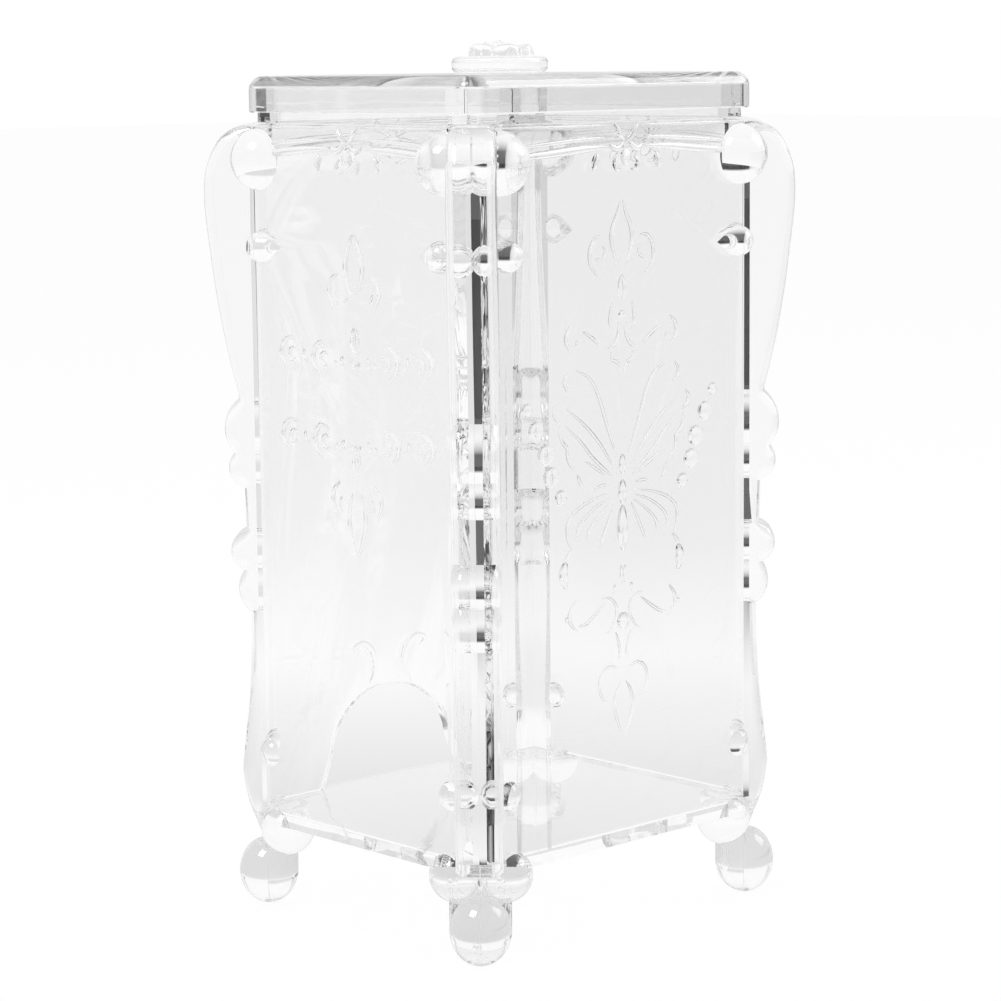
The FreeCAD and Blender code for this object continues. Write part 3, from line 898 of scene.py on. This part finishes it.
# ---- studio ----
TABLE_SIZE = 12              # metres
TABLE_REACH = (0.2, 0.5)     # metres from the holder between which the white table fades into the room
TABLE_GLOW = 0.92
TABLE_MATT = 0.06            # what the table reflects of the lamps, so that it takes a faint shadow
TABLE_PAINTED_SHADE_REACH = (0.02, 0.25)   # metres from the holder between which the table under it gains brightness: painted shade in its glow
TABLE_PAINTED_SHADE_LEVEL = 0.66          # brightness of the table under the holder, seen through the plastic: painted shade in its glow
ROOM_RISE = (3.0, 6.0)       # degrees above the horizon where the room gives way to white soft boxes
TO_LIGHT = (-math.sqrt(0.5), math.sqrt(0.5), 0.0)    # from the room's dark side to its light side
DARK_SIDE = 0.0              # brightness of the room on its dark side
LIGHT_SIDE = 0.75            # and on its light side
SIDE_BLEND = (-0.95, -0.6)   # parts of TO_LIGHT between which the two sides blend
TRAPPED = (30, 40)           # bounces inside the plastic over which piped light is used up
MOST_BOUNCES = 80
LAMP_AIM = Vector((0, 0, 0.08))
# Lamps: name, azimuth and elevation in degrees, distance and size in metres, power in watts
LAMPS = (("key_lamp", -90, 50, 1.2, 0.5, 6.0),
         ("fill_lamp", 60, 35, 1.4, 0.7, 4.0))
CAMERA_AZIMUTH = -43.27      # degrees from the front
CAMERA_ELEVATION = 8.25
CAMERA_ROLL = 0.57
CAMERA_DISTANCE = 0.5954     # metres from the point that it looks at
CAMERA_AIM = 0.07899         # height of that point
CAMERA_ASIDE = -0.00069      # how far camera and aim stand to the right of the holder's axis
CAMERA_LENS = 109.95         # millimetres, on a 36 mm sensor


def add_room(material, place, top):
    """Brightness of the room in a direction: a dark and a light side, white from a height on."""
    flat = add_node(material, "ShaderNodeVectorMath", {"operation": "MULTIPLY", 1: (1.0, 1.0, 0.0)},
                    {0: place})
    unit = add_node(material, "ShaderNodeVectorMath", {"operation": "NORMALIZE"}, {0: flat.outputs[0]})
    side = add_node(material, "ShaderNodeVectorMath", {"operation": "DOT_PRODUCT", 1: TO_LIGHT},
                    {0: unit.outputs[0]})
    band = add_node(material, "ShaderNodeMapRange",
                    {"interpolation_type": "SMOOTHSTEP", "From Min": SIDE_BLEND[0], "From Max": SIDE_BLEND[1],
                     "To Min": DARK_SIDE, "To Max": LIGHT_SIDE}, {"Value": side.outputs["Value"]})
    mix = add_node(material, "ShaderNodeMix", {"data_type": "FLOAT", 3: 1.0}, {0: top, 2: band.outputs[0]})
    return mix.outputs[0]


def add_seen(material, room):
    """What a ray sees: white straight through, the room once mirrored, less if it was long trapped."""
    path = add_node(material, "ShaderNodeLightPath")
    mirrored = add_node(material, "ShaderNodeMath", {"operation": "MINIMUM", 1: 1.0},
                        {0: path.outputs["Glossy Depth"]})
    mix = add_node(material, "ShaderNodeMix", {"data_type": "FLOAT", 2: 1.0},
                   {0: mirrored.outputs[0], 3: room})
    left = add_node(material, "ShaderNodeMapRange",
                    {"From Min": TRAPPED[0], "From Max": TRAPPED[1], "To Min": 1.0, "To Max": 0.0},
                    {"Value": path.outputs["Ray Depth"]})
    dimmed = add_node(material, "ShaderNodeMath", {"operation": "MULTIPLY"},
                      {0: mix.outputs[0], 1: left.outputs[0]})
    return dimmed.outputs[0]


def make_floor():
    """White table that glows faintly, so that it stays white and still shows a shadow; seen through the
    plastic, its glow also has painted shade under the holder.
    """
    bpy.ops.mesh.primitive_plane_add(size=TABLE_SIZE)
    table = bpy.context.object
    table.name = "table"
    material = bpy.data.materials.new("white_table")
    material.use_nodes = True
    material.node_tree.nodes.clear()
    place = add_node(material, "ShaderNodeTexCoord")
    reach = add_node(material, "ShaderNodeVectorMath", {"operation": "LENGTH"}, {0: place.outputs["Object"]})
    near = add_node(material, "ShaderNodeMapRange",
                    {"From Min": TABLE_REACH[0], "From Max": TABLE_REACH[1], "To Min": 1.0, "To Max": 0.0},
                    {"Value": reach.outputs["Value"]})
    bright = add_seen(material, add_room(material, place.outputs["Object"], near.outputs[0]))
    # painted shade: rays other than the camera's see the table's glow darker under the holder
    shade = add_node(material, "ShaderNodeMapRange",
                     {"From Min": TABLE_PAINTED_SHADE_REACH[0], "From Max": TABLE_PAINTED_SHADE_REACH[1], "To Min": TABLE_PAINTED_SHADE_LEVEL,
                      "To Max": 1.0},
                     {"Value": reach.outputs["Value"]})
    path = add_node(material, "ShaderNodeLightPath")
    painted_shade_unless_camera = add_node(material, "ShaderNodeMix", {"data_type": "FLOAT", 3: 1.0},
                    {0: path.outputs["Is Camera Ray"], 2: shade.outputs[0]})
    seen = add_node(material, "ShaderNodeMath", {"operation": "MULTIPLY"}, {0: bright, 1: painted_shade_unless_camera.outputs[0]})
    level = add_node(material, "ShaderNodeMath", {"operation": "MULTIPLY", 1: TABLE_GLOW},
                     {0: seen.outputs[0]})
    glow = add_node(material, "ShaderNodeEmission", {"Color": linear("#FFFFFF")},
                    {"Strength": level.outputs[0]})
    matt = add_node(material, "ShaderNodeBsdfDiffuse", {"Color": (TABLE_MATT,) * 3 + (1.0,)})
    both = add_node(material, "ShaderNodeAddShader")
    material.node_tree.links.new(glow.outputs[0], both.inputs[0])
    material.node_tree.links.new(matt.outputs[0], both.inputs[1])
    add_node(material, "ShaderNodeOutputMaterial", links={"Surface": both.outputs[0]})
    table.data.materials.append(material)


def make_world():
    """White studio; only mirrored rays see the room, a band round the horizon."""
    world = bpy.data.worlds.new("studio")
    bpy.context.scene.world = world
    world.use_nodes = True
    world.node_tree.nodes.clear()
    place = add_node(world, "ShaderNodeTexCoord")
    split = add_node(world, "ShaderNodeSeparateXYZ", {}, {"Vector": place.outputs["Generated"]})
    low, high = (math.sin(math.radians(angle)) for angle in ROOM_RISE)
    above = add_node(world, "ShaderNodeMapRange", {"From Min": low, "From Max": high},
                     {"Value": split.outputs["Z"]})
    bright = add_seen(world, add_room(world, place.outputs["Generated"], above.outputs[0]))
    back = add_node(world, "ShaderNodeBackground", {"Color": linear("#FFFFFF")}, {"Strength": bright})
    add_node(world, "ShaderNodeOutputWorld", links={"Surface": back.outputs[0]})


def make_lamp(name, azimuth, elevation, distance, size, power):
    """Square soft lamp aimed at the middle of the holder."""
    turn, lift = math.radians(azimuth), math.radians(elevation)
    away = Vector((math.sin(turn) * math.cos(lift), -math.cos(turn) * math.cos(lift), math.sin(lift)))
    data = bpy.data.lights.new(name, "AREA")
    data.size = size
    data.energy = power
    lamp = bpy.data.objects.new(name, data)
    lamp.location = LAMP_AIM + away * distance
    lamp.rotation_euler = away.to_track_quat("Z", "Y").to_euler()
    lamp.visible_camera = False
    lamp.visible_transmission = False     # the lamp glints on the plastic and isn't seen through it
    bpy.context.collection.objects.link(lamp)


def make_camera():
    """Camera a little above the holder's middle, turned to its near corner, with a long lens."""
    angles = (CAMERA_AZIMUTH, CAMERA_ELEVATION, CAMERA_ROLL)
    azimuth, elevation, roll = (math.radians(angle) for angle in angles)
    away = Vector((math.sin(azimuth) * math.cos(elevation), -math.cos(azimuth) * math.cos(elevation),
                   math.sin(elevation)))
    right = Vector((math.cos(azimuth), math.sin(azimuth), 0))
    up = away.cross(right)
    data = bpy.data.cameras.new("camera")
    data.lens = CAMERA_LENS
    data.sensor_width = 36
    camera = bpy.data.objects.new("camera", data)
    across = right * math.cos(roll) - up * math.sin(roll)
    upward = right * math.sin(roll) + up * math.cos(roll)
    matrix = Matrix((across, upward, away)).transposed().to_4x4()
    matrix.translation = away * CAMERA_DISTANCE + Vector((0, 0, CAMERA_AIM)) + right * CAMERA_ASIDE
    camera.matrix_world = matrix
    bpy.context.collection.objects.link(camera)
    bpy.context.scene.camera = camera


make_floor()
make_world()
for lamp in LAMPS:
    make_lamp(*lamp)
make_camera()
scene = bpy.context.scene
scene.view_settings.view_transform = "Standard"
scene.cycles.max_bounces = MOST_BOUNCES
scene.cycles.transmission_bounces = MOST_BOUNCES
scene.cycles.transparent_max_bounces = 32
scene.cycles.glossy_bounces = MOST_BOUNCES
